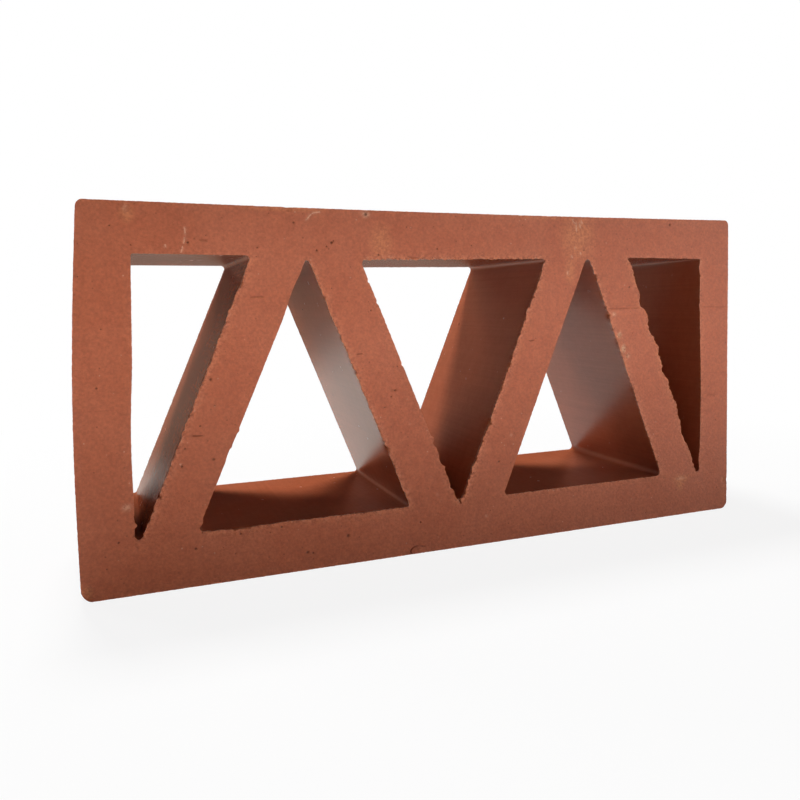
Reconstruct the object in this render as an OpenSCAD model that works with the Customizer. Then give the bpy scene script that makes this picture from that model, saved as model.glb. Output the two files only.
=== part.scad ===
// Terracotta breeze block: one extruded, wire-cut and fired clay unit for screen walls.
// A rectangular ring of four walls, with a zigzag of sloping webs that leaves triangular cells
// open from the front cut face to the back one. It stands on its long bed face.
// Origin: middle of the bed face. X along the block, Y from front to back, Z up. Millimetres.

/* [Block] */
// Length of the block along the course
block_length = 290; // [240:1:400]
// Height of the block as it stands in the wall
block_height = 140; // [110:1:200]
// Depth of the block from the front cut face to the back one
block_depth = 75; // [50:1:150]
// Radius of the two upper long edges, as the die leaves them
upper_edge_radius = 3; // [1:0.5:6]
// Radius of the two lower long edges, rounded further while the clay was soft
lower_edge_radius = 5; // [1:0.5:8]

/* [Walls] */
// Thickness of each end wall
end_wall = 17; // [12:0.5:24]
// Thickness of the top wall
top_wall = 18.5; // [12:0.5:24]
// Thickness of the bottom wall
bottom_wall = 19.5; // [12:0.5:24]
// Thickness of each sloping web, square to its faces
web_thickness = 18.5; // [12:0.5:24]

/* [Cells] */
// Number of sloping webs, which makes one more cell than webs
web_count = 4; // [2:1:6]
// Radius in the three corners of each cell
cell_corner_radius = 2; // [0.5:0.5:4]

/* [Hidden] */
// Facets of the drawn circles
$fn = 64;
// Fired clay
terracotta = [0.66, 0.40, 0.30];
// How far the sides of a cell lie inside its corner discs: too little to see or measure
cell_side_tuck = 0.001;

// Each cell is a triangle of discs with a belt round them. The discs sit in two rows,
// one just above the bottom wall and one just below the top wall.
low_row = bottom_wall + cell_corner_radius;
high_row = block_height - top_wall - cell_corner_radius;
row_rise = high_row - low_row;

// The tips of the cells point down and up in turn, evenly spaced from end wall to end wall.
first_tip = -block_length / 2 + end_wall + cell_corner_radius;
tip_pitch = -2 * first_tip / web_count;

// A web touches the disc at one cell's tip on its left face and the next cell's tip on its right
// face, so the two disc centres lie this far apart, square to the web.
tip_spread = web_thickness + 2 * cell_corner_radius;
// Lean of the webs from upright, which leaves exactly that spread between neighbouring tips
web_lean = acos(tip_spread / norm([tip_pitch, row_rise])) - atan2(row_rise, tip_pitch);
// Sideways run of a web's face from the low row of discs to the high one
web_run = row_rise * tan(web_lean);

// Where the straight side that passes from disc a to disc b, each [x, y, r], leaves them:
// the direction that points out of the outline, square to that side.
function side_direction(a, b) =
    let (
        step = [b.x - a.x, b.y - a.y],
        ahead = step / norm(step),
        taper = (a[2] - b[2]) / norm(step)
    )
    taper * ahead + sqrt(1 - taper * taper) * [ahead.y, -ahead.x];

// Outline that a belt takes round discs [x, y, r], which are listed anticlockwise.
// With a tuck, the straight sides lie that far inside the discs, so each arc crosses them cleanly.
module belt(discs, tuck = 0) {
    last = len(discs) - 1;
    polygon([
        for (i = [0 : last])
            let (
                a = discs[i],
                b = discs[i == last ? 0 : i + 1],
                out = side_direction(a, b)
            )
            each [[a.x, a.y] + (a[2] - tuck) * out, [b.x, b.y] + (b[2] - tuck) * out]
    ]);
    for (disc = discs)
        translate([disc.x, disc.y]) circle(r = disc[2]);
}

// Outside of the section: a rectangle with rounded long edges.
module body_outline() {
    lower_x = block_length / 2 - lower_edge_radius;
    upper_x = block_length / 2 - upper_edge_radius;
    upper_z = block_height - upper_edge_radius;
    belt([
        [-lower_x, lower_edge_radius, lower_edge_radius],
        [lower_x, lower_edge_radius, lower_edge_radius],
        [upper_x, upper_z, upper_edge_radius],
        [-upper_x, upper_z, upper_edge_radius]
    ]);
}

// One triangular cell. Even ones point down and odd ones up, and the first and last are
// half cells that stand against the upright end walls.
module cell_outline(index) {
    points_down = index % 2 == 0;
    tip_x = first_tip + index * tip_pitch;
    tip_z = points_down ? low_row : high_row;
    base_z = points_down ? high_row : low_row;
    left_x = tip_x - (index == 0 ? 0 : web_run);
    right_x = tip_x + (index == web_count ? 0 : web_run);
    tip = [tip_x, tip_z, cell_corner_radius];
    left = [left_x, base_z, cell_corner_radius];
    right = [right_x, base_z, cell_corner_radius];
    belt(points_down ? [tip, right, left] : [tip, left, right], cell_side_tuck);
}

// The whole block, extruded along its depth.
module breeze_block() {
    color(terracotta)
        translate([0, block_depth / 2, 0])
            rotate([90, 0, 0])
                linear_extrude(block_depth)
                    difference() {
                        body_outline();
                        for (index = [0 : web_count])
                            cell_outline(index);
                    }
}

breeze_block();
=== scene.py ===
import math

import bmesh
import bpy
import numpy as np
from mathutils import Matrix, Vector, kdtree, noise
from mathutils.geometry import delaunay_2d_cdt


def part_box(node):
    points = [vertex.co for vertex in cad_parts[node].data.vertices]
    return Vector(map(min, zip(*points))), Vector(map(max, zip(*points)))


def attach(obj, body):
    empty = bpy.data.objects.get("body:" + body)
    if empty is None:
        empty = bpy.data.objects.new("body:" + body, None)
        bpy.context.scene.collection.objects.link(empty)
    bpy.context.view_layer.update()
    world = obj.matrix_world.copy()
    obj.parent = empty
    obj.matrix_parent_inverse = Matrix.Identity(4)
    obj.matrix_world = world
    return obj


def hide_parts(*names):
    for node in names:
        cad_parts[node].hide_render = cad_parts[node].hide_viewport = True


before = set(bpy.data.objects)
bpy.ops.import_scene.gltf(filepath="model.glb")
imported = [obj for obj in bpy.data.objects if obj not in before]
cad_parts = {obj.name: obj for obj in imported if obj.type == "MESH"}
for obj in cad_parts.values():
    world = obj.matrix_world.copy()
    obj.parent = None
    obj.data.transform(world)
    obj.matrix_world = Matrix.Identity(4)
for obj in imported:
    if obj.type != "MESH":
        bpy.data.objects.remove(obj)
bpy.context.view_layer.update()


# Breeze block
# One piece of red brick clay, pushed through a die as a column with five triangular cells, cut to
# depth front and back by a taut wire, then dried and fired. It has no glaze, coating or insert.

# Sizes of the section in millimetres, as the drawing has them
MILLIMETRE = 0.001
block_low, block_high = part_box("breeze_block")
length, depth, height = (block_high - block_low) / MILLIMETRE
end_wall = 17.0
top_wall = 18.5
bottom_wall = 19.5
web_thickness = 18.5
web_count = 4
cell_corner = 2.0

# The cells' corner discs sit in two rows, and the lean of the webs leaves the web's thickness between
# the discs of neighbouring tips
low_row = bottom_wall + cell_corner
high_row = height - top_wall - cell_corner
row_rise = high_row - low_row
first_tip = -length / 2 + end_wall + cell_corner
tip_pitch = -2 * first_tip / web_count
tip_reach = math.hypot(tip_pitch, row_rise)
web_lean = math.acos((web_thickness + 2 * cell_corner) / tip_reach) - math.atan2(row_rise, tip_pitch)

# The die was worn and the soft column slumped a little, so the corners of the cells sit off their
# drawn places. For each cell: the drift of its tip, left and right corner, as (x, z).
cell_drift = [
    [(0.9, 0.0), (1.3, 0.5), (-0.5, 0.2)],
    [(-0.35, -0.3), (-0.5, 0.3), (-0.2, 0.3)],
    [(0.6, -0.3), (-0.5, -1.2), (0.6, -0.2)],
    [(0.7, 0.0), (0.1, 0.4), (0.3, 0.4)],
    [(0.3, -0.7), (1.4, 0.7), (-0.8, 0.4)],
]
# Radius of the same three corners, which came out sharper than drawn
corner_radius = [(1.5, 0.7, 1.5), (0.7, 1.9, 1.2), (1.5, 1.4, 1.6), (1.7, 1.3, 2.0), (1.1, 0.7, 0.8)]
# Radius of the long edges, also sharper than drawn
upper_edge = 2.4
lower_edge = 3.8
# Share of that drift which is left at the back
drift_at_back = 0.4
# The column leans sideways, its left end stands in at the corners and bows out between them, its right
# end stands in towards the top, and its top sags, with the ends up by this share of the sag
column_lean = 0.0145
left_end_in = 0.8
left_end_bow = 1.9
right_end_in = 0.3
right_end_slant = 0.5
top_sag = 0.8
ends_up = 0.8


def cell_discs(index, drift_share):
    """The three corner discs of a cell, as (x, z, radius), anticlockwise seen from the front."""
    points_down = index % 2 == 0
    tip_x = first_tip + index * tip_pitch
    tip_z, base_z = (low_row, high_row) if points_down else (high_row, low_row)
    tip_radius, left_radius, right_radius = corner_radius[index]
    drawn = [(tip_x, tip_z, tip_radius)]
    for side, radius, at_end in ((-1, left_radius, index == 0), (1, right_radius, index == web_count)):
        lean = 0 if at_end else web_lean
        sharper = cell_corner - radius
        x = tip_x + side * (row_rise * math.tan(lean) + sharper * (1 + math.sin(lean)) / math.cos(lean))
        drawn.append((x, base_z + (sharper if points_down else -sharper), radius))
    tip, left, right = [
        (x + drift_share * dx, z + drift_share * dz, radius)
        for (x, z, radius), (dx, dz) in zip(drawn, cell_drift[index])
    ]
    return [tip, right, left] if points_down else [tip, left, right]


def outer_discs():
    """The four corner discs of the outside of the section."""
    low_x = length / 2 - lower_edge
    high_x = length / 2 - upper_edge
    high_z = height - upper_edge
    return [
        (-low_x, lower_edge, lower_edge),
        (low_x, lower_edge, lower_edge),
        (high_x, high_z, upper_edge),
        (-high_x, high_z, upper_edge),
    ]


def belt_outline(discs, step=0.1):
    """A belt round the discs: its places, the direction out of it, where it bends, and the length run."""
    following = discs[1:] + discs[:1]
    sides = []
    for (ax, az, ar), (bx, bz, br) in zip(discs, following):
        run = math.hypot(bx - ax, bz - az)
        ahead = np.array([bx - ax, bz - az]) / run
        taper = (ar - br) / run
        sides.append(taper * ahead + math.sqrt(1 - taper**2) * np.array([ahead[1], -ahead[0]]))
    places, outs, bends = [], [], []
    for i, (a, b) in enumerate(zip(discs, following)):
        start = math.atan2(sides[i - 1][1], sides[i - 1][0])
        turn = (math.atan2(sides[i][1], sides[i][0]) - start) % (2 * math.pi)
        count = math.ceil(turn * a[2] / step)
        angles = start + turn * np.arange(count) / count
        arc = np.column_stack([np.cos(angles), np.sin(angles)])
        leave = np.array(a[:2]) + a[2] * sides[i]
        arrive = np.array(b[:2]) + b[2] * sides[i]
        straight = math.ceil(np.linalg.norm(arrive - leave) / step)
        share = np.arange(straight)[:, None] / straight
        places += [np.array(a[:2]) + a[2] * arc, leave + share * (arrive - leave)]
        outs += [arc, np.repeat(sides[i][None], straight, 0)]
        bends += [np.ones(count), np.zeros(straight)]
    places = np.concatenate(places + [places[0][:1]])
    outs = np.concatenate(outs + [outs[0][:1]])
    run = np.concatenate([[0], np.cumsum(np.linalg.norm(np.diff(places, axis=0), axis=1))])
    return {"places": places, "outs": outs, "bends": np.concatenate(bends), "run": run}


def spread_along(outline, gap, corner_gap=0.45):
    """Lengths along an outline for one ring of points, closer together round its corners."""
    steps = np.diff(outline["run"]) / np.where(outline["bends"] > 0, min(gap, corner_gap), gap)
    counted = np.concatenate([[0], np.cumsum(steps)])
    count = round(counted[-1])
    return np.interp(np.arange(count) * counted[-1] / count, counted, outline["run"])


def read_outline(outline, along, key):
    """Places or directions of an outline at the given lengths."""
    return np.column_stack([np.interp(along, outline["run"], outline[key][:, i]) for i in (0, 1)])


def lumps(places, size, seed):
    """Smooth noise, about -1 to 1, at places in millimetres, with lumps of about that size."""
    shifted = np.asarray(places, float) / size + 31.7 * seed
    if shifted.shape[1] == 2:
        shifted = np.column_stack([shifted, np.full(len(shifted), 7.3 * seed)])
    return np.array([noise.noise(Vector(place)) for place in shifted])


# The wire tore the clay where it left it, mostly on the right-hand sides of the cells. This is how
# strongly, in millimetres, the edge wanders on each side of each cell, and on the outside.
torn_edges = [
    {"left": 0.08, "right": 0.60, "floor": 0.40, "ceiling": 0.10},
    {"left": 0.08, "right": 0.50, "floor": 0.42, "ceiling": 0.40},
    {"left": 0.12, "right": 0.65, "floor": 0.50, "ceiling": 0.55},
    {"left": 0.08, "right": 0.50, "floor": 0.30, "ceiling": 0.20},
    {"left": 0.55, "right": 0.25, "floor": 0.30, "ceiling": 0.20},
]
torn_outside = 0.06
# The narrow foot of the middle cell is torn further, from this height down
foot_cell = 2
foot_torn = 0.3
foot_top = 55.0
foot_fade = 30.0
# The back of the block was cut cleaner
torn_at_back = 0.15
# How far a tear reaches down the wall of a cell and out over the cut face, and a chip down from that face
tear_reach = 1.3
tear_width = 1.1
chip_reach = 2.5
# Nicks and burrs that stand out along the front edges of each cell, as (side, place, reach, depth). The
# place is a height on the sides and a length on a floor. A burr has a depth below zero.
front_nicks = [
    [
        ("left", 25.2, 1.3, -0.85), ("left", 28.0, 1.2, 0.3), ("right", 34.5, 1.2, 0.5),
        ("right", 57.0, 2.0, -0.4), ("right", 101.0, 3.0, -0.4), ("right", 111.5, 3.5, 0.4),
    ],
    [
        ("left", 119.0, 4.0, 0.4), ("left", 56.4, 1.1, -0.35), ("left", 50.4, 1.0, -0.3),
        ("left", 48.5, 4.5, 0.3), ("left", 23.4, 2.0, -0.6),
        ("right", 90.0, 2.0, 0.3), ("right", 75.8, 1.1, 0.5), ("right", 44.0, 2.2, 0.9),
        ("right", 100.0, 2.5, -0.5), ("floor", -89.0, 8.0, 0.7), ("floor", -72.0, 3.0, -0.4),
    ],
    [
        ("left", 111.8, 0.9, 0.45), ("left", 103.4, 0.9, 0.4), ("left", 78.1, 0.9, 0.4),
        ("left", 46.8, 1.6, -0.8), ("left", 44.3, 1.6, 0.5), ("left", 37.3, 2.2, 0.6),
        ("left", 34.4, 1.2, -0.4), ("left", 25.9, 1.3, 0.5), ("right", 33.0, 1.8, -0.9),
        ("right", 51.5, 3.5, 0.6), ("right", 76.5, 4.5, 0.5), ("right", 98.5, 2.5, -0.7),
        ("right", 118.5, 3.0, -0.6), ("floor", 0.6, 3.0, -0.8),
    ],
    [
        ("right", 96.0, 2.0, 0.5), ("right", 83.5, 3.0, 0.4), ("right", 61.0, 2.0, 0.4),
        ("right", 119.0, 2.5, -0.5),
    ],
    [
        ("left", 101.0, 3.5, 1.6), ("left", 95.0, 1.8, -0.5), ("left", 89.0, 4.5, 0.9),
        ("left", 80.5, 2.8, -1.2), ("left", 69.0, 2.8, 0.9), ("left", 64.5, 2.2, -0.7),
        ("left", 53.5, 6.5, -0.8), ("left", 55.5, 1.2, 0.6), ("left", 38.5, 5.5, 0.8),
        ("right", 26.0, 5.0, -0.4), ("right", 100.0, 2.0, -0.5), ("right", 118.0, 4.0, -0.6),
    ],
]
# Sides of cells that bow through the whole depth, given in the same way
cell_bows = [
    [("left", 56.0, 30.0, 0.75)],
    [("left", 109.0, 12.0, 0.7)],
    [],
    [],
    [("right", 55.0, 45.0, 0.9)],
]


def tear_strength(index, places, outs):
    """How strongly the edge is torn at each place of an outline; index -1 is the outside."""
    if index < 0:
        return np.full(len(places), torn_outside)
    side = torn_edges[index]
    rightward, upward = outs[:, 0], outs[:, 1]
    strength = side["right"] * np.clip(rightward, 0, 1) ** 2 + side["left"] * np.clip(-rightward, 0, 1) ** 2
    strength += side["ceiling"] * np.clip(upward, 0, 1) ** 6 + side["floor"] * np.clip(-upward, 0, 1) ** 6
    if index == foot_cell:
        strength += foot_torn * np.clip((foot_top - places[:, 1]) / foot_fade, 0, 1)
    return strength


def torn_edge(index, places, strength, seed):
    """How far the torn edge lies inside the clay, in millimetres. Negative where a burr stands proud."""
    wander = 0.35 * lumps(places, 3.0, seed) + 0.7 * lumps(places, 1.4, seed + 1)
    wander += 1.0 * lumps(places, 0.9, seed + 4)
    nick = np.clip(lumps(places, 1.6, seed + 2) - 0.25, 0, 1) * 1.3
    wave = 0.3 * lumps(places, 12.0, seed + 3)
    return strength * (wander + nick + wave)


def hill(distance, radius):
    """A smooth hump, 1 in the middle and 0 from the radius on."""
    return np.clip(1 - (distance / radius) ** 2, 0, 1) ** 2


def nicked_edge(nicks, places, outs):
    """How far the nicks, burrs or bows of a cell lie inside the clay, in millimetres."""
    faced = {"left": -outs[:, 0], "right": outs[:, 0], "floor": -outs[:, 1]}
    nicked = np.zeros(len(places))
    for side, place, reach, deep in nicks:
        along = places[:, 0] if side == "floor" else places[:, 1]
        nicked += deep * hill(along - place, reach) * (faced[side] > 0.5)
    return nicked


# Marks on the front cut face, in millimetres from the middle of the bed.
# Pits where a pebble or a gas bubble broke out, as (x, z, radius), then a scatter of small ones
front_pits = [
    (-68.7, 134.3, 0.5), (-59.8, 123.8, 0.45), (-53.9, 126.9, 0.6), (-55.9, 125.4, 0.4),
    (-40.0, 138.3, 0.8), (-47.9, 11.3, 0.75), (-64.2, 6.9, 0.65), (-62.0, 6.3, 0.55),
    (-74.2, 18.1, 0.5), (-89.7, 17.4, 0.5), (-138.0, 74.9, 0.5), (86.3, 108.7, 0.6),
    (109.0, 137.4, 0.65), (6.2, 126.6, 0.4), (-99.9, 76.0, 0.65), (-99.1, 46.4, 0.6),
    (-109.2, 51.2, 0.45), (-110.3, 44.8, 0.5), (-132.0, 19.7, 0.5), (-105.8, 14.0, 0.6),
    (-133.5, 131.5, 0.4), (-107.4, 126.1, 0.55), (-126.7, 125.0, 0.3), (19.1, 34.5, 0.5),
    (-17.1, 12.8, 0.5), (61.7, 125.3, 0.4), (-103.8, 59.1, 0.45), (-53.2, 127.6, 0.35),
    (-82.5, 124.6, 0.4), (-34.8, 122.3, 0.45), (-9.4, 125.0, 0.45), (-29.7, 65.3, 0.35),
    (-28.0, 67.8, 0.4), (-32.4, 61.2, 0.35), (-38.1, 100.2, 0.4), (-27.0, 77.4, 0.4),
    (-102.9, 21.5, 0.4), (-102.6, 23.3, 0.35), (-103.4, 19.6, 0.35),
]
scatter = np.random.default_rng(14)


def scattered_pits(count):
    """Small pits strewn over a cut face."""
    x = scatter.uniform(-length / 2, length / 2, count)
    z = scatter.uniform(0, height, count)
    return list(zip(x, z, scatter.uniform(0.16, 0.34, count)))


# Lines that grit dragged along under the wire, short tears, a crack under the middle cell and the curl of
# a lump that was caught near the bed, as (from x, from z, to x, to z, depth)
front_lines = [
    (74.6, 100.3, 92.0, 100.3, 0.10), (74.6, 99.0, 92.6, 99.1, 0.20), (128.2, 99.1, 144.0, 98.7, 0.18),
    (128.6, 67.2, 144.0, 66.8, 0.12), (131.7, 56.2, 137.9, 56.1, 0.22), (-145.0, 66.8, -131.5, 67.0, 0.12),
    (-85.0, 106.2, -80.5, 106.2, 0.32), (-106.4, 55.7, -103.4, 55.5, 0.50),
    (-22.2, 121.5, -14.6, 121.2, 0.35), (-43.8, 83.1, -41.6, 83.2, 0.45), (81.5, 92.8, 97.0, 92.9, 0.10),
    (92.6, 86.7, 101.0, 86.7, 0.10), (33.8, 85.8, 36.4, 85.9, 0.45), (80.0, 71.0, 104.0, 71.0, 0.08),
    (-29.4, 68.0, -27.4, 67.9, 0.35),
    (-103.2, 127.1, -101.2, 127.0, 0.35), (26.6, 46.2, 28.2, 46.0, 0.30), (0.4, 20.2, 1.3, 18.7, 0.90),
    (-14.8, 2.3, -18.2, 3.4, 0.25), (-18.2, 3.4, -20.6, 2.8, 0.40), (-20.6, 2.8, -21.5, 1.3, 0.50),
    (-21.5, 1.3, -21.1, 0.4, 0.50), (-19.6, 1.4, -17.4, 1.9, 0.20), (-126.3, 17.8, -125.5, 16.4, 0.25),
]
back_lines = [
    (-145.0, 92.0, -120.0, 92.0, 0.18), (-60.0, 131.0, -20.0, 131.0, 0.15), (30.0, 12.0, 95.0, 12.0, 0.16),
    (100.0, 128.0, 145.0, 128.0, 0.14), (-145.0, 8.0, -90.0, 8.0, 0.15), (-50.0, 70.0, -35.0, 70.0, 0.16),
]
groove_reach = 0.42
# Chalky scratches, as (from x, from z, to x, to z)
front_scratches = [
    (-108.4, 131.2, -108.2, 129.0), (-108.3, 128.4, -108.7, 125.8), (-109.1, 124.8, -109.6, 122.6),
    (-115.1, 125.4, -115.0, 124.3), (55.6, 138.6, 56.6, 137.2), (57.4, 137.6, 57.8, 133.2),
    (59.2, 137.0, 59.9, 135.0), (60.1, 138.4, 60.5, 137.4), (55.2, 123.0, 55.6, 121.4),
    (-63.6, 135.6, -61.5, 138.1), (-61.5, 138.1, -58.1, 138.7), (53.3, 116.0, 53.1, 114.4),
    (56.9, 126.4, 56.8, 125.6), (59.6, 124.4, 59.9, 123.8),
]
back_scratches = [(20.0, 124.0, 26.0, 135.0), (-98.0, 4.0, -91.0, 12.0)]
scratch_reach = 0.36
# Chalky smears and sandy stains, as (x, z, half width, half height, strength)
front_smears = [
    (-129.1, 32.0, 1.9, 1.4, 0.5), (77.8, 96.4, 0.9, 0.9, 0.9), (81.0, 86.8, 0.9, 1.8, 1.0),
    (83.4, 80.6, 1.1, 2.2, 1.0), (85.7, 77.2, 0.9, 1.2, 0.9), (116.4, 17.4, 3.2, 0.9, 0.45),
    (-40.0, 138.3, 1.8, 1.4, 0.7), (-21.9, 53.4, 0.5, 0.5, 0.4), (25.3, 45.2, 0.5, 0.5, 0.4),
    (-9.3, 23.3, 0.4, 0.8, 0.6), (-7.7, 20.4, 0.5, 0.4, 0.4), (13.3, 11.8, 0.7, 0.4, 0.35),
    (-110.6, 45.6, 0.6, 0.5, 0.7), (142.6, 15.0, 0.8, 0.7, 0.7), (-128.4, 137.6, 0.7, 1.6, 0.4),
]
back_smears = [(60.0, 132.0, 4.0, 2.5, 0.6), (-120.0, 10.0, 3.0, 2.0, 0.7)]
front_stains = [
    (-33.8, 127.4, 5.0, 7.5, 0.7), (58.5, 131.0, 9.0, 11.0, 0.8), (54.5, 116.5, 3.0, 7.0, 0.6),
    (-142.6, 3.5, 1.7, 2.5, 1.0), (-73.0, 139.6, 16.0, 0.9, 0.8), (38.0, 139.5, 12.0, 0.8, 0.8),
    (-127.9, 136.0, 2.4, 3.4, 0.9), (116.6, 17.2, 5.0, 2.2, 1.0), (116.0, 14.4, 2.2, 3.4, 1.0),
    (142.8, 9.0, 1.6, 5.0, 0.5),
]
back_stains = [(-30.0, 128.0, 9.0, 6.0, 0.6), (104.0, 60.0, 6.0, 12.0, 0.5)]
# Chips broken off the edges of the face, as (x, z, radius, depth)
front_chips = [
    (80.6, 86.5, 1.4, 0.7), (83.0, 80.5, 1.6, 0.8), (84.6, 77.0, 1.1, 0.6), (143.5, 13.8, 1.8, 0.9),
    (-143.5, 3.0, 3.0, 1.4), (-71.0, 140.0, 1.6, 0.8), (-82.0, 140.0, 1.2, 0.6), (30.0, 140.0, 1.3, 0.6),
    (44.0, 140.0, 1.1, 0.5), (-101.8, 20.8, 1.8, 0.9),
]
back_chips = [
    (-144.0, 138.0, 2.6, 1.2), (90.0, 140.0, 2.0, 0.9), (143.5, 2.5, 3.0, 1.3), (-10.0, 0.5, 2.0, 0.8),
]

cut_faces = {
    "front": {
        "pits": front_pits + scattered_pits(90), "lines": front_lines, "scratches": front_scratches,
        "smears": front_smears, "stains": front_stains, "chips": front_chips,
        "plane": -depth / 2, "inward": 1, "gap": 1.05, "seed": 20,
    },
    "back": {
        "pits": scattered_pits(110), "lines": back_lines, "scratches": back_scratches,
        "smears": back_smears, "stains": back_stains, "chips": back_chips,
        "plane": depth / 2, "inward": -1, "gap": 1.9, "seed": 60,
    },
}


def line_distance(places, line):
    """Distance in millimetres from places to a straight line from (ax, az) to (bx, bz)."""
    ax, az, bx, bz = line
    run = np.array([bx - ax, bz - az])
    share = np.clip((places - (ax, az)) @ run / (run @ run), 0, 1)
    return np.linalg.norm(places - (ax, az) - share[:, None] * run, axis=1)


def face_relief(face, places, torn, away):
    """How far a cut face lies below its plane at places (x, z), and its shares of chalky pale (with a
    painted highlight on the raised crumbs at tears), of sandy stain and of painted shade in pits and
    grooves. Torn is the strength of the tear along the nearest edge, and away the distance to that edge."""
    seed = face["seed"]
    near = torn * np.exp(-np.abs(away) / tear_width)
    sunk = 0.10 * lumps(places, 26.0, seed) + 0.05 * lumps(places, 7.0, seed + 1)
    sunk += near * (0.55 * lumps(places, 1.1, seed + 2) + 0.35 * lumps(places, 2.2, seed + 3))
    chalk_and_crumb_highlight, sandy, pit_and_groove_shade = np.zeros((3, len(places)))
    # Raised crumbs along a tear are painted pale: partly pale grains of the clay, partly a painted highlight
    # where they catch the light
    crumbs = np.clip(lumps(places, 0.8, seed + 5) - 0.2, 0, 1)
    sunk -= 0.5 * near * crumbs
    chalk_and_crumb_highlight = np.maximum(chalk_and_crumb_highlight, np.clip(2.0 * near * crumbs, 0, 0.8))
    # Pits sink into the face, and their share also paints them dark as painted shade
    for x, z, radius in face["pits"]:
        distance = np.linalg.norm(places - (x, z), axis=1)
        dip = hill(distance, 1.15 * radius)
        sunk += 0.9 * radius * dip - 0.08 * radius * hill(distance - 1.35 * radius, 0.5 * radius)
        pit_and_groove_shade = np.maximum(pit_and_groove_shade, np.clip(dip * 1.6, 0, 1))
    # Grooves sink into the face, and their share also paints them dark as painted shade
    for *line, deep in face["lines"]:
        groove = hill(line_distance(places, line), groove_reach)
        sunk += deep * groove
        pit_and_groove_shade = np.maximum(pit_and_groove_shade, np.clip(1.5 * deep, 0, 1) * groove)
    for line in face["scratches"]:
        chalk_and_crumb_highlight = np.maximum(chalk_and_crumb_highlight, 0.8 * hill(line_distance(places, line), scratch_reach))
    for x, z, half_x, half_z, amount in face["smears"]:
        reach = np.linalg.norm((places - (x, z)) / (half_x, half_z), axis=1)
        chalk_and_crumb_highlight = np.maximum(chalk_and_crumb_highlight, amount * hill(reach, 1.3))
    for x, z, half_x, half_z, amount in face["stains"]:
        reach = np.linalg.norm((places - (x, z)) / (half_x, half_z), axis=1)
        sandy = np.maximum(sandy, amount * hill(reach, 1.4))
    for x, z, radius, deep in face["chips"]:
        bite = hill(np.linalg.norm(places - (x, z), axis=1), 1.3 * radius)
        sunk += deep * bite * (1 + 0.4 * lumps(places, 0.9, seed + 4))
        sandy = np.maximum(sandy, 0.6 * bite)
    return sunk, chalk_and_crumb_highlight, sandy, pit_and_groove_shade


# Points of the clay as (x, y, z) in millimetres, their finish marks, and the triangles between them
clay_points = []
clay_marks = []
clay_triangles = []
mark_names = ("cut", "outer", "torn", "chalk_and_crumb_highlight", "sandy", "pit_and_groove_shade")


def add_points(places, level, *marks):
    """Keep points at places (x, z) and a level y with their finish marks, and return their numbers."""
    first = len(clay_points)
    columns = [np.broadcast_to(column, len(places)) for column in (level, *marks)]
    clay_points.extend(np.column_stack([places[:, 0], columns[0], places[:, 1]]).tolist())
    clay_marks.extend(np.column_stack(columns[1:]).tolist())
    return np.arange(first, len(clay_points))


def fill_between(upper, lower, total):
    """Triangles between two rings of a wall, each (numbers, lengths along), always by the shorter step."""
    (numbers_a, along_a), (numbers_b, along_b) = upper, lower
    next_a = np.append(along_a[1:], total + along_a[0])
    next_b = np.append(along_b[1:], total + along_b[0])
    i = j = 0
    while i < len(next_a) or j < len(next_b):
        a = numbers_a[i % len(next_a)]
        b = numbers_b[j % len(next_b)]
        if j == len(next_b) or (i < len(next_a) and next_a[i] <= next_b[j]):
            i += 1
            clay_triangles.append((a, numbers_a[i % len(next_a)], b))
        else:
            j += 1
            clay_triangles.append((a, numbers_b[j % len(next_b)], b))


# Rings of points down each wall: how far from the cut face, and the gap between points along the ring
front_rings = [(0.0, 0.42), (0.3, 0.45), (0.7, 0.55), (1.3, 0.8), (2.2, 1.2), (3.8, 1.8), (6.5, 3.0)]
middle_rings = [(12.0, 5.0), (22.0, 6.0), (34.0, 6.0), (46.0, 6.0), (58.0, 5.0)]
back_rings = [(7.0, 3.0), (4.0, 2.0), (2.2, 1.4), (1.1, 1.1), (0.45, 1.0), (0.0, 1.0)]
wall_rings = [("front", into, gap) for into, gap in front_rings]
wall_rings += [("middle", into, gap) for into, gap in middle_rings]
wall_rings += [("back", from_back, gap) for from_back, gap in back_rings]

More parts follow.
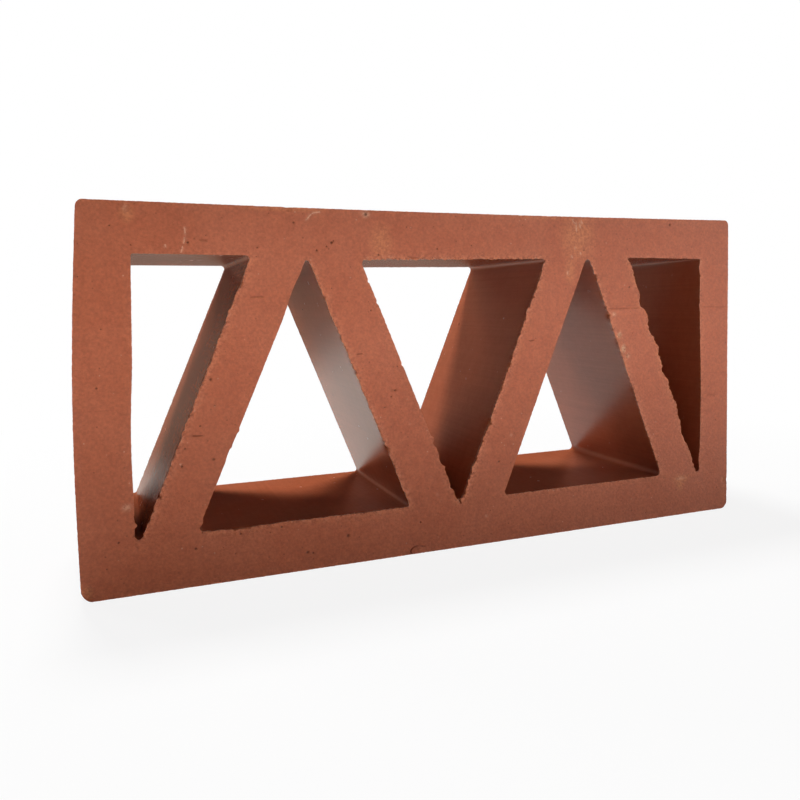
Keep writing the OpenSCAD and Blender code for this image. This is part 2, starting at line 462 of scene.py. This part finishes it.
# The walls of the outside and of the five cells, ring by ring from the front to the back
face_edges = {"front": [], "back": []}
for index in range(-1, web_count + 1):
    ring_above = None
    for part, below, gap in wall_rings:
        into = depth - below if part == "back" else below
        drift_share = 1 - (1 - drift_at_back) * into / depth
        outline = belt_outline(outer_discs() if index < 0 else cell_discs(index, drift_share))
        along = spread_along(outline, gap)
        places = read_outline(outline, along, "places")
        outs = read_outline(outline, along, "outs")
        to_clay = -outs if index < 0 else outs
        if index >= 0:
            places = places + to_clay * (drift_share * nicked_edge(cell_bows[index], places, outs))[:, None]
        strength = tear_strength(index, places, outs) * (torn_at_back if part == "back" else 1)
        level = np.full(len(places), into - depth / 2)
        chalk_and_crumb_highlight, sandy, pit_and_groove_shade = np.zeros((3, len(places)))
        fade = 0.0
        if part != "middle":
            face = cut_faces[part]
            seed = face["seed"] + 100 * (index + 2)
            fade = math.exp(-below / tear_reach)
            edge = torn_edge(index, places, strength, seed)
            if part == "front" and index >= 0:
                edge = edge + nicked_edge(front_nicks[index], places, outs)
            deep = np.column_stack([places, level])
            crumbs = 0.35 * strength * lumps(deep, 0.9, seed + 7)
            sunk, chalk_and_crumb_highlight, sandy, pit_and_groove_shade = face_relief(face, places, strength, 0)
            sunk += 0.55 * np.clip(edge, -0.1, 1.0)
            places = places + to_clay * ((edge + crumbs) * fade)[:, None]
            level += face["inward"] * sunk * math.exp(-below / chip_reach)
        marks = [np.clip(1.4 * strength, 0, 1) * fade, chalk_and_crumb_highlight * fade, sandy * fade, pit_and_groove_shade * fade]
        numbers = add_points(places, level, below == 0, index < 0, *marks)
        if ring_above is not None:
            fill_between(ring_above, (numbers, along), outline["run"][-1])
        ring_above = (numbers, along)
        if below == 0:
            face_edges[part].append((numbers, places, to_clay, strength))

# The two wire-cut faces: points spread between the edges, with more of them at tears, pits and lines. The
# rows stand this share of a gap apart, and the fine rows at the tears have this share of the coarse gap.
row_share = 0.866
fine_share = 0.62
# How far the fine rows reach from a tear of 1 mm, and the strongest tear that counts
fine_reach = 8
fine_tear = 0.4
# Rings of points round a pit, as (share of its radius, count)
pit_rings = [(0.5, 5), (0.95, 7), (1.4, 9)]
# Points along a line: the gap between them, and how far to its sides for a groove and a scratch
line_gap = 0.9
groove_half = 0.4
scratch_half = 0.25
for part, face in cut_faces.items():
    edges = face_edges[part]
    edge_places = np.concatenate([places for _, places, _, _ in edges])
    edge_inward = np.concatenate([to_clay for _, _, to_clay, _ in edges])
    edge_torn = np.concatenate([strength for _, _, _, strength in edges])
    near_edge = kdtree.KDTree(len(edge_places))
    for number, (x, z) in enumerate(edge_places):
        near_edge.insert((x, z, 0), number)
    near_edge.balance()

    def offset_rows(step):
        """Points in offset rows over the whole face, each moved a little off its place."""
        rows = np.arange(0, height, step * row_share)
        x, z = np.meshgrid(np.arange(-length / 2, length / 2, step), rows)
        x = x + step / 2 * (np.arange(len(rows)) % 2)[:, None]
        grid = np.column_stack([x.ravel(), z.ravel()])
        return grid + 0.3 * step * np.column_stack([lumps(grid, 0.37, 5), lumps(grid, 0.37, 6)])

    def measure(grid):
        """Distance of each point from the nearest edge, negative off the clay, and how torn that edge is."""
        found = [near_edge.find((x, z, 0)) for x, z in grid]
        nearest = np.array([number for _, number, _ in found])
        away = np.array([distance for _, _, distance in found])
        inside = ((grid - edge_places[nearest]) * edge_inward[nearest]).sum(1) > 0
        return np.where(inside, away, -away), edge_torn[nearest]

    gap = face["gap"]
    coarse = offset_rows(gap)
    away, torn = measure(coarse)
    coarse = coarse[(away > 0.6 * gap) & (away > fine_reach * np.clip(torn, 0, fine_tear))]
    fine_gap = fine_share * gap
    fine = offset_rows(fine_gap)
    away, torn = measure(fine)
    fine = fine[(away > 0.55 * fine_gap) & (away <= fine_reach * np.clip(torn, 0, fine_tear))]
    grid = np.concatenate([coarse, fine])

    keep = np.ones(len(grid), bool)
    added = []
    for x, z, radius in face["pits"]:
        keep &= np.linalg.norm(grid - (x, z), axis=1) > 1.5 * radius + 0.2
        added.append([(x, z)])
        for reach, count in pit_rings:
            angles = 2 * math.pi * np.arange(count) / count + x
            wobble = reach * radius * (1 + 0.16 * np.sin(2 * angles + z) + 0.1 * np.sin(5 * angles + x))
            added.append(np.column_stack([x + wobble * np.cos(angles), z + wobble * np.sin(angles)]))
    lines = [(line, groove_half) for *line, _ in face["lines"]]
    lines += [(line, scratch_half) for line in face["scratches"]]
    for line, half in lines:
        keep &= line_distance(grid, line) > 1.5 * half
        start, end = np.array(line[:2]), np.array(line[2:])
        run = np.linalg.norm(end - start)
        count = math.ceil(run / line_gap)
        share = (np.arange(count) + 0.5)[:, None] / count
        across = np.array([start[1] - end[1], end[0] - start[0]]) / run
        added += [start + share * (end - start) + side * half * across for side in (-1, 0, 1)]
    added = np.concatenate([np.reshape(places, (-1, 2)) for places in added])
    added = added[measure(added)[0] > 0.35]
    grid = np.concatenate([grid[keep], added])

    away, torn = measure(grid)
    sunk, chalk_and_crumb_highlight, sandy, pit_and_groove_shade = face_relief(face, grid, torn, away)
    raw = np.clip(1.6 * torn * np.exp(-away / tear_width), 0, 1)
    level = face["plane"] + face["inward"] * sunk
    numbers = add_points(grid, level, 1.0, 0.0, raw, chalk_and_crumb_highlight, sandy, pit_and_groove_shade)

    loops = []
    numbering = []
    for edge_numbers, _, _, _ in edges:
        loops.append(list(range(len(numbering), len(numbering) + len(edge_numbers))))
        numbering.extend(edge_numbers)
    numbering.extend(numbers)
    flat = [Vector(place) for place in np.concatenate([edge_places, grid])]
    _, _, made, origin, _, inside = delaunay_2d_cdt(flat, [], loops, 1, 1e-5)
    for corners, loops_round in zip(made, inside):
        if len(loops_round) == 1:
            clay_triangles.append(tuple(numbering[origin[corner][0]] for corner in corners))

# Lean, bow and sag of the whole column. The bow and the sag fade out this far into the walls.
ease_reach = 12.0
clay_points = np.array(clay_points)
x, y, z = clay_points.T
ease_left = np.clip((-x - length / 2 + ease_reach) / ease_reach, 0, 1)
ease_right = np.clip((x - length / 2 + ease_reach) / ease_reach, 0, 1)
ease_top = np.clip((z - height + ease_reach) / ease_reach, 0, 1)
clay_points[:, 0] = x + column_lean * (z - height / 2)
clay_points[:, 0] += ease_left * (left_end_in - left_end_bow * np.sin(math.pi * z / height))
clay_points[:, 0] -= ease_right * (right_end_in + right_end_slant * z / height)
clay_points[:, 2] = z + ease_top * top_sag * (ends_up - np.cos(math.pi * x / length))

block_mesh = bpy.data.meshes.new("breeze_block_clay")
block_mesh.from_pydata((clay_points * MILLIMETRE).tolist(), [], clay_triangles)
for name, values in zip(mark_names, np.array(clay_marks, np.float32).T):
    mark = block_mesh.attributes.new(name, "FLOAT", "POINT")
    mark.data.foreach_set("value", np.ascontiguousarray(values))
shell = bmesh.new()
shell.from_mesh(block_mesh)
bmesh.ops.recalc_face_normals(shell, faces=shell.faces)
shell.to_mesh(block_mesh)
shell.free()
block_mesh.polygons.foreach_set("use_smooth", np.ones(len(block_mesh.polygons), bool))
sharp_edge = math.radians(38)
block_mesh.set_sharp_from_angle(angle=sharp_edge)
block = bpy.data.objects.new("breeze_block_clay", block_mesh)
bpy.context.scene.collection.objects.link(block)

# Fired clay: red brick earth, cloudy and grainy, scored by the wire on the cut faces and drawn smooth by the
# die on the walls, chalky and sandy where it was scuffed, and rough where it tore. Painted shade darkens its
# pits, grooves, hollows, tiny dark specks and the dips between torn crumbs, and a painted highlight lightens
# the raised crumbs.
clay_red = (0.438, 0.116, 0.051, 1)
clay_brown = (0.388, 0.096, 0.041, 1)
clay_pale = (0.470, 0.138, 0.067, 1)
# Lighter clay for rubbed places on the outer faces, and as a painted highlight on the raised crumbs of torn
# edges
clay_scuff_and_crumb_highlight = (0.58, 0.195, 0.090, 1)
chalk = (0.66, 0.41, 0.27, 1)
sand = (0.54, 0.185, 0.074, 1)
# Painted shade: the dark colour laid into pits, grooves, hollows, tiny dark specks and the dips between torn
# crumbs
painted_shade_dark = (0.10, 0.025, 0.012, 1)

fired_clay = bpy.data.materials.new("fired_clay")
fired_clay.use_nodes = True
finish = fired_clay.node_tree
finish.nodes.clear()


def put(kind, inputs=None, **settings):
    """A node of the finish. Its inputs are numbers, colours or the outputs of other nodes."""
    made = finish.nodes.new(kind)
    for name, value in settings.items():
        setattr(made, name, value)
    for name, value in (inputs or {}).items():
        if isinstance(value, bpy.types.NodeSocket):
            finish.links.new(value, made.inputs[name])
        else:
            made.inputs[name].default_value = value
    return made


def sums(operation, a, b=0.0, c=0.0):
    """A sum on numbers."""
    return put("ShaderNodeMath", {0: a, 1: b, 2: c}, operation=operation).outputs[0]


def cloud(place, scale, detail=3.0, rough=0.55):
    """Smooth noise from 0 to 1."""
    wanted = {"Vector": place, "Scale": scale, "Detail": detail, "Roughness": rough}
    return put("ShaderNodeTexNoise", wanted).outputs["Fac"]


def between(value, low, high):
    """0 below low, 1 above high, and a smooth rise between them."""
    wanted = {"Value": value, "From Min": low, "From Max": high}
    return put("ShaderNodeMapRange", wanted, interpolation_type="SMOOTHSTEP").outputs["Result"]


def coat(below, colour, share):
    """A colour laid over another by a share from 0 to 1."""
    return put("ShaderNodeMix", {0: share, 6: below, 7: colour}, data_type="RGBA").outputs[2]


def stretched(scale_x, scale_y, scale_z):
    """The block's own coordinates, drawn out along some of their axes."""
    scales = (scale_x, scale_y, scale_z)
    return put("ShaderNodeVectorMath", {0: where, 1: scales}, operation="MULTIPLY").outputs[0]


where = put("ShaderNodeTexCoord").outputs["Object"]
cut, outer, torn, chalk_and_crumb_highlight, sandy, pit_and_groove_shade = [
    put("ShaderNodeAttribute", attribute_name=name).outputs["Fac"] for name in mark_names
]

# Patterns: clouds in the clay, its grain, light specks, tiny dark specks of painted shade, small hollows,
# rubbed places, and the scores left by the wire and by the die
broad = cloud(where, 22.0, 2.0)
mottle = cloud(where, 260.0, 3.0, 0.55)
grain = cloud(where, 1080.0, 2.0, 0.6)
speckle = put("ShaderNodeTexVoronoi", {"Vector": where, "Scale": 700.0})
speck_spot = between(speckle.outputs["Distance"], 0.30, 0.14)
speck_pick = put("ShaderNodeSeparateColor", {0: speckle.outputs["Color"]}).outputs[0]
light_speck = sums("MULTIPLY", speck_spot, between(speck_pick, 0.984, 0.986))
# Tiny dark dots on the cut faces: painted shade standing for small pits, with no dip in the relief
pit_shade_speck = sums("MULTIPLY", speck_spot, between(speck_pick, 0.045, 0.040))
# Small hollows in the die-drawn walls: a dip in the relief, also painted dark below as painted shade
hollows = put("ShaderNodeTexVoronoi", {"Vector": where, "Scale": 130.0})
hollow_pick = put("ShaderNodeSeparateColor", {0: hollows.outputs["Color"]}).outputs[0]
hollow_spot = between(hollows.outputs["Distance"], 0.075, 0.045)
hollow = sums("MULTIPLY", hollow_spot, between(hollow_pick, 0.90, 0.91))
rub = sums("MULTIPLY", outer, between(cloud(stretched(90.0, 60.0, 90.0), 1.0, 4.0, 0.65), 0.50, 0.72))
drag_score = cloud(stretched(38.0, 500.0, 950.0), 1.0, 3.0, 0.6)
die_score = cloud(stretched(900.0, 9.0, 900.0), 1.0, 3.0, 0.6)

# Colour, one coat over the other
colour = coat(clay_red, clay_brown, sums("MULTIPLY", between(mottle, 0.62, 0.36), 0.45))
colour = coat(colour, clay_pale, sums("MULTIPLY", between(broad, 0.40, 0.75), 0.6))
colour = coat(colour, chalk, sums("MULTIPLY", light_speck, sums("MULTIPLY", cut, 0.35)))
colour = coat(colour, painted_shade_dark, sums("MULTIPLY", pit_shade_speck, sums("MULTIPLY", cut, 0.5)))
colour = coat(colour, clay_scuff_and_crumb_highlight, sums("MULTIPLY", rub, 0.45))
sand_grain = sums("MULTIPLY_ADD", between(grain, 0.38, 0.58), 0.55, 0.45)
colour = coat(colour, sand, sums("MULTIPLY", sandy, sand_grain))
# Chalk over the scratches and smears, and pale on the torn crumbs, where it is partly a painted highlight
colour = coat(colour, chalk, sums("MULTIPLY", chalk_and_crumb_highlight, between(grain, 0.20, 0.58)))
# Painted highlight and shade at the tears: torn clay is painted lighter where its grain stands up in the
# relief and darker in the dips between
colour = coat(colour, clay_scuff_and_crumb_highlight, sums("MULTIPLY", torn, between(grain, 0.40, 0.56)))
colour = coat(colour, painted_shade_dark, sums("MULTIPLY", torn, sums("MULTIPLY", between(grain, 0.40, 0.26), 0.6)))
off_cut = sums("SUBTRACT", 1.0, cut)
hollow = sums("MULTIPLY", hollow, off_cut)
# Painted shade: pits and grooves on the cut faces and hollows in the walls are darkened towards the dark
# shade colour
colour = coat(colour, painted_shade_dark, sums("MULTIPLY", sums("MAXIMUM", pit_and_groove_shade, hollow), 0.8))
drawn_shade = sums("MULTIPLY_ADD", grain, 0.16, sums("MULTIPLY_ADD", die_score, 0.26, 0.67))
cut_shade = sums("MULTIPLY_ADD", grain, 0.78, 0.61)
shade = put("ShaderNodeMix", {0: cut, 2: drawn_shade, 3: cut_shade}).outputs[0]
colour = put("ShaderNodeVectorMath", {0: colour, "Scale": shade}, operation="SCALE").outputs[0]

# Roughness: the walls that the die drew are smoothest, the outer faces duller, the cut and torn clay dull
cut_rough = sums("MULTIPLY_ADD", grain, 0.20, 0.55)
die_rough = sums("MULTIPLY_ADD", mottle, 0.06, 0.23)
outer_rough = sums("MULTIPLY_ADD", mottle, 0.20, 0.46)
drawn_rough = put("ShaderNodeMix", {0: outer, 2: die_rough, 3: outer_rough}).outputs[0]
roughness = put("ShaderNodeMix", {0: cut, 2: drawn_rough, 3: cut_rough}).outputs[0]
roughness = sums("MAXIMUM", roughness, sums("MULTIPLY", sums("MAXIMUM", torn, chalk_and_crumb_highlight), 0.8))

# Fine relief, in millimetres
cut_height = sums("MULTIPLY", sums("MULTIPLY_ADD", drag_score, 0.10, sums("MULTIPLY", grain, 0.15)), cut)
die_grain = sums("MULTIPLY", grain, sums("MULTIPLY_ADD", outer, 0.05, 0.016))
die_height = sums("MULTIPLY", sums("MULTIPLY_ADD", die_score, 0.019, die_grain), off_cut)
torn_height = sums("MULTIPLY", sums("MULTIPLY", torn, grain), 0.35)
bumps = sums("ADD", sums("ADD", cut_height, die_height), sums("MULTIPLY_ADD", hollow, -0.25, torn_height))
relief = put("ShaderNodeBump", {"Height": bumps, "Strength": 1.0, "Distance": MILLIMETRE})

body = put(
    "ShaderNodeBsdfPrincipled",
    {"Base Color": colour, "Roughness": roughness, "Normal": relief.outputs["Normal"], "IOR": 1.5},
)
put("ShaderNodeOutputMaterial", {"Surface": body.outputs[0]})
block_mesh.materials.append(fired_clay)

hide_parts("breeze_block")
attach(block, "root")


# Floor
# A plain white table top that the block stands on. Far from the block it melts into the white behind,
# and close to it the table keeps the block's shadow. In the smooth cell walls it shows white near the
# block and warmer further away.
floor_mesh = bpy.data.meshes.new("floor")
floor_half = 3.0
floor_level = -0.0002
floor_mesh.from_pydata(
    [(x * floor_half, y * floor_half, floor_level) for x, y in ((-1, -1), (1, -1), (1, 1), (-1, 1))],
    [],
    [(0, 1, 2, 3)],
)
floor = bpy.data.objects.new("floor", floor_mesh)
bpy.context.scene.collection.objects.link(floor)
white_table = bpy.data.materials.new("white_table")
white_table.use_nodes = True
finish = white_table.node_tree
finish.nodes.clear()
rays = put("ShaderNodeLightPath").outputs
looked_at = sums("MAXIMUM", rays["Is Camera Ray"], rays["Is Transmission Ray"])
on_table = put("ShaderNodeTexCoord").outputs["Object"]
distance = put("ShaderNodeVectorMath", {0: on_table}, operation="LENGTH")
white_share = sums("MULTIPLY_ADD", between(distance.outputs["Value"], 0.18, 0.45), 0.12, 0.88)
paper = put("ShaderNodeBsdfDiffuse", {"Color": (0.72, 0.72, 0.72, 1)})
glow = put("ShaderNodeEmission", {"Color": (1, 1, 1, 1), "Strength": 1.0})
lift = sums("MULTIPLY", looked_at, white_share)
seen_table = put("ShaderNodeMixShader", {0: lift, 1: paper.outputs[0], 2: glow.outputs[0]})
nearness = between(distance.outputs["Value"], 0.54, 0.28)
spot = put("ShaderNodeSeparateXYZ", {0: on_table}).outputs
behind = between(spot["Y"], -0.10, -0.02)
mirrored_tint = coat((1.0, 0.62, 0.45, 1), (1.0, 0.91, 0.82, 1), sums("MULTIPLY", nearness, behind))
far_white = sums("MULTIPLY_ADD", between(spot["X"], 0.5, 0.1), 0.10, 0.24)
mirrored_white = sums("MAXIMUM", nearness, far_white)
mirrored_white = sums("MULTIPLY", mirrored_white, sums("MULTIPLY_ADD", behind, 0.55, 0.45))
mirrored = put("ShaderNodeEmission", {"Color": mirrored_tint, "Strength": mirrored_white})
table_top = put(
    "ShaderNodeMixShader", {0: rays["Is Glossy Ray"], 1: seen_table.outputs[0], 2: mirrored.outputs[0]}
)
put("ShaderNodeOutputMaterial", {"Surface": table_top.outputs[0]})
floor_mesh.materials.append(white_table)


# Light
# A soft lamp high over the block and a little behind it lights the table and the floors of the cells, and
# a lamp behind on the left reaches into them. A low lamp on the right and three gridded strips light the
# front. The room is dim, with a warm pale side on the left that the cell walls mirror.
def soft_lamp(name, place, aim, width, tall, power, spread=180, glare=False):
    """A rectangular lamp of the given size in metres and power in watts, turned towards a point. The
    spread is the angle in degrees that its grid lets through, and glare lets faces mirror the lamp."""
    lamp = bpy.data.lights.new(name, "AREA")
    lamp.shape = "RECTANGLE"
    lamp.size = width
    lamp.size_y = tall
    lamp.energy = power
    lamp.spread = math.radians(spread)
    lamp_object = bpy.data.objects.new(name, lamp)
    lamp_object.location = place
    lamp_object.rotation_euler = (Vector(aim) - Vector(place)).to_track_quat("-Z", "Y").to_euler()
    lamp_object.visible_camera = False
    lamp_object.visible_glossy = glare
    bpy.context.scene.collection.objects.link(lamp_object)


def lamp_place(height_angle, compass, away):
    """A place round the block, by angles in degrees: up from the table, and clockwise from behind."""
    up, round_block = math.radians(height_angle), math.radians(compass)
    sideways = Vector((math.sin(round_block), math.cos(round_block), 0))
    return Vector(block_middle) + away * (math.cos(up) * sideways + math.sin(up) * Vector((0, 0, 1)))


block_middle = (0, 0, 0.07)
soft_lamp("top_lamp", lamp_place(69, 346, 1.6), block_middle, 0.35, 0.35, 29.5)
soft_lamp("back_lamp", lamp_place(30, 315, 1.6), block_middle, 0.30, 0.30, 4.8)
soft_lamp("side_lamp", lamp_place(8, 130, 1.6), block_middle, 0.60, 0.40, 7.6, glare=True)
soft_lamp("left_strip", (-0.12, -0.55, 0.17), (-0.048, -0.0375, 0.10), 0.50, 0.03, 0.047, spread=22)
soft_lamp("high_strip", (0.28, -0.55, 0.17), (0.112, -0.0375, 0.135), 0.50, 0.03, 0.026, spread=27)
soft_lamp("low_strip", (0.28, -0.55, 0.17), (0.092, -0.0375, 0.07), 0.50, 0.03, 0.028, spread=22)

room = bpy.data.worlds.new("room")
room.use_nodes = True
bpy.context.scene.world = room
finish = room.node_tree
finish.nodes.clear()
rays = put("ShaderNodeLightPath").outputs
looked_at = sums("MAXIMUM", rays["Is Camera Ray"], rays["Is Transmission Ray"])
way = put("ShaderNodeSeparateXYZ", {0: put("ShaderNodeTexCoord").outputs["Generated"]}).outputs
pale_left = sums("MULTIPLY", between(way["X"], -0.10, -0.25), 0.40)
pale_horizon = sums("MULTIPLY", between(way["Z"], 0.08, 0.04), 0.26)
mirrored = sums("MULTIPLY", rays["Is Glossy Ray"], sums("MAXIMUM", pale_left, pale_horizon))
room_strength = sums("MAXIMUM", sums("MAXIMUM", looked_at, mirrored), 0.02)
room_tint = coat((1, 1, 1, 1), (1.0, 0.60, 0.44, 1), rays["Is Glossy Ray"])
room_light = put("ShaderNodeBackground", {"Color": room_tint, "Strength": room_strength})
put("ShaderNodeOutputWorld", {"Surface": room_light.outputs[0]})


# Camera
# It stands close in front of the block, left of its middle and below its top, and looks to the right. The
# lens and its middle are in pixels of the square picture.
picture_size = 800
focal_pixels = 762.1
middle_x, middle_y = 429.9, 330.8
camera_place = (-0.1307, -0.3267, 0.1027)
camera_heading = math.radians(22.25)
camera_tilt = math.radians(-2.06)
camera_roll = math.radians(-0.92)

camera_data = bpy.data.cameras.new("camera")
camera_data.sensor_width = 36.0
camera_data.lens = focal_pixels / picture_size * camera_data.sensor_width
camera_data.shift_x = (picture_size / 2 - middle_x) / picture_size
camera_data.shift_y = (middle_y - picture_size / 2) / picture_size
camera_data.clip_start = 0.01
camera = bpy.data.objects.new("camera", camera_data)
turned = Matrix.Rotation(-camera_heading, 4, "Z") @ Matrix.Rotation(math.pi / 2 + camera_tilt, 4, "X")
camera.matrix_world = Matrix.Translation(camera_place) @ turned @ Matrix.Rotation(camera_roll, 4, "Z")
bpy.context.scene.collection.objects.link(camera)
bpy.context.scene.camera = camera
bpy.context.scene.view_settings.view_transform = "Standard"
